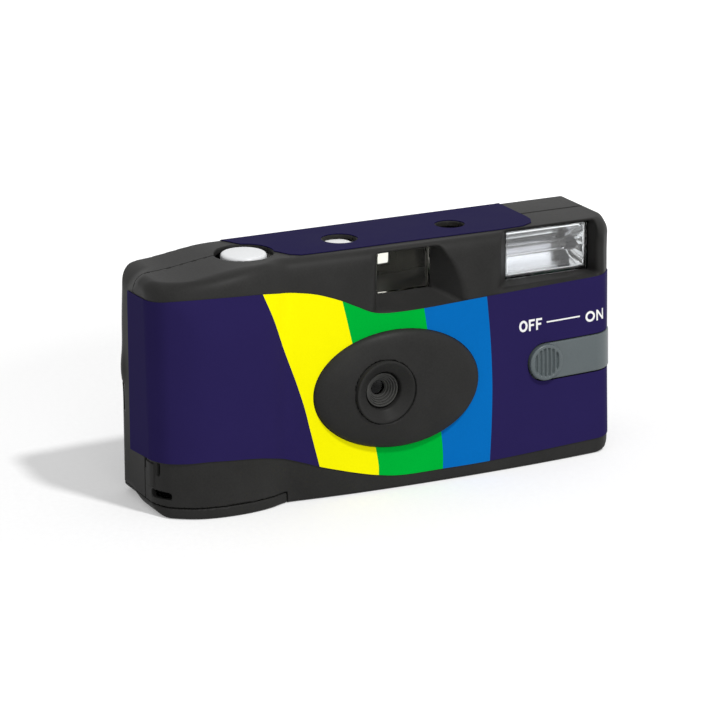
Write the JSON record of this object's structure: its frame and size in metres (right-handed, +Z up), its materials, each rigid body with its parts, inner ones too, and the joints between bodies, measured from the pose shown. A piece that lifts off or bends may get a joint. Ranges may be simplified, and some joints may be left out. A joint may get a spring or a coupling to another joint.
{
  "type": "disposable film camera",
  "caption": "Single-use film camera with a bulged cassette end, oval lens surround, flared viewfinder, flash, sliding flash switch, shutter button and advance wheel.",
  "frame": {"origin": "Middle of the bottom of the bounding box, on the surface the camera stands on.", "axes": "+X to the right seen from the front, -Y is the lens side, +Z up."},
  "size_m": [0.1185, 0.0314, 0.0571],
  "materials": {
    "black_plastic": "fine grain",
    "label_print": "printed film",
    "grey_plastic": "satin",
    "inner_plastic": "matt",
    "pale_plastic": "satin",
    "button_plastic": "gloss",
    "clear_plastic": "clear",
    "flash_glass": "clear",
    "reflector_metal": "mirror",
    "spring_steel": "bright",
    "contact_brass": "bright",
    "board_laminate": "satin",
    "dark_sleeve": "gloss",
    "copper_winding": "enamel",
    "lamp_glass": "clear",
    "cell_jacket": "gloss",
    "cassette_metal": "gloss",
    "film_base": "gloss"
  },
  "bodies": {
    "body": {"front_cover": "black_plastic", "rear_cover": "black_plastic", "front_label": "label_print", "top_label": "label_print", "main_frame": "inner_plastic", "keeper_plate": "inner_plastic", "lens_holder": "inner_plastic", "taking_lens": "clear_plastic", "lens_retainer": "inner_plastic", "viewfinder_front_lens": "clear_plastic", "viewfinder_rear_lens": "clear_plastic", "flash_window": "clear_plastic", "flash_reflector": "reflector_metal", "flash_tube": "flash_glass", "switch_contact": "contact_brass", "circuit_board": "board_laminate", "flash_capacitor": "dark_sleeve", "transformer": "copper_winding", "trigger_coil": "copper_winding", "ready_lamp": "lamp_glass", "battery": "cell_jacket", "battery_contact_plus": "spring_steel", "battery_contact_minus": "spring_steel", "button_spring": "spring_steel", "pawl_spring": "spring_steel", "film_cassette": "cassette_metal", "film_strip": "film_base", "metering_spring": "spring_steel", "striker_spring": "spring_steel", "shutter_spring": "spring_steel", "sync_contact": "contact_brass"},
    "door": {"film_door": "black_plastic"},
    "button": {"shutter_button": "button_plastic"},
    "slider": {"flash_switch": "grey_plastic"},
    "wheel": {"advance_wheel": "inner_plastic", "cassette_spool": "inner_plastic"},
    "sprocket": {"sprocket_wheel": "pale_plastic", "wind_cam": "pale_plastic"},
    "supply": {"film_roll": "film_base", "supply_spool": "inner_plastic"},
    "dial": {"counter_dial": "pale_plastic"},
    "pawl": {"anti_reverse_pawl": "pale_plastic"},
    "release": {"metering_lever": "pale_plastic"},
    "striker": {"striker_lever": "pale_plastic"},
    "blade": {"shutter_blade": "spring_steel"}
  },
  "joints": [
    {"name": "film_door_hinge", "type": "hinge", "parent": "body", "child": "door", "pos_m": [-0.044, 0.0148, 0.0007], "axis": [1, 0, 0], "range_deg": [0, 100]},
    {"name": "shutter_button_press", "type": "slide", "parent": "body", "child": "button", "axis": [0, 0, -1], "range_m": [0, 0.0012], "stiffness_N_per_m": 800, "springref_m": -0.0005, "deforming": ["button_spring"]},
    {"name": "flash_switch_slide", "type": "slide", "parent": "body", "child": "slider", "axis": [0.9976, 0.0698, 0], "range_m": [0, 0.01]},
    {"name": "advance_wheel_turn", "type": "hinge", "parent": "body", "child": "wheel", "pos_m": [-0.0415, 0.00127, 0.0497], "axis": [0, 0, 1], "continuous": true},
    {"name": "sprocket_turn", "type": "hinge", "parent": "body", "child": "sprocket", "pos_m": [-0.023, 0.00677, 0.0395], "axis": [0, 0, 1], "continuous": true},
    {"name": "supply_turn", "type": "hinge", "parent": "body", "child": "supply", "pos_m": [0.026, 0.00402, 0.0245], "axis": [0, 0, 1], "continuous": true},
    {"name": "counter_turn", "type": "hinge", "parent": "body", "child": "dial", "pos_m": [-0.013, 0.0036, 0.0535], "axis": [0, 0, 1], "continuous": true},
    {"name": "pawl_lift", "type": "hinge", "parent": "body", "child": "pawl", "pos_m": [-0.02777, -0.0047, 0.049], "axis": [0, 0, 1], "range_deg": [0, 8], "stiffness_Nm_per_rad": 0.002, "springref_deg": -5.73},
    {"name": "release_turn", "type": "hinge", "parent": "body", "child": "release", "pos_m": [-0.021, -0.0012, 0.0451], "axis": [0, 0, 1], "range_deg": [0, 10.5]},
    {"name": "striker_turn", "type": "hinge", "parent": "body", "child": "striker", "pos_m": [-0.012, -0.003, 0.0451], "axis": [0, 0, 1], "range_deg": [-25, 0], "stiffness_Nm_per_rad": 0.002, "springref_deg": 5.73},
    {"name": "shutter_turn", "type": "hinge", "parent": "body", "child": "blade", "pos_m": [-0.013, -0.00755, 0.033], "axis": [0, -1, 0], "range_deg": [0, 30.5]}
  ],
  "couplings": [
    {"joint": "release_turn", "follows": "shutter_button_press", "rad_per_m": 145.44},
    {"joint": "sprocket_turn", "follows": "advance_wheel_turn", "ratio": 0.9},
    {"joint": "supply_turn", "follows": "advance_wheel_turn", "ratio": 0.62},
    {"joint": "counter_turn", "follows": "advance_wheel_turn", "ratio": -0.03},
    {"joint": "shutter_turn", "follows": "striker_turn", "ratio": -1.2}
  ]
}
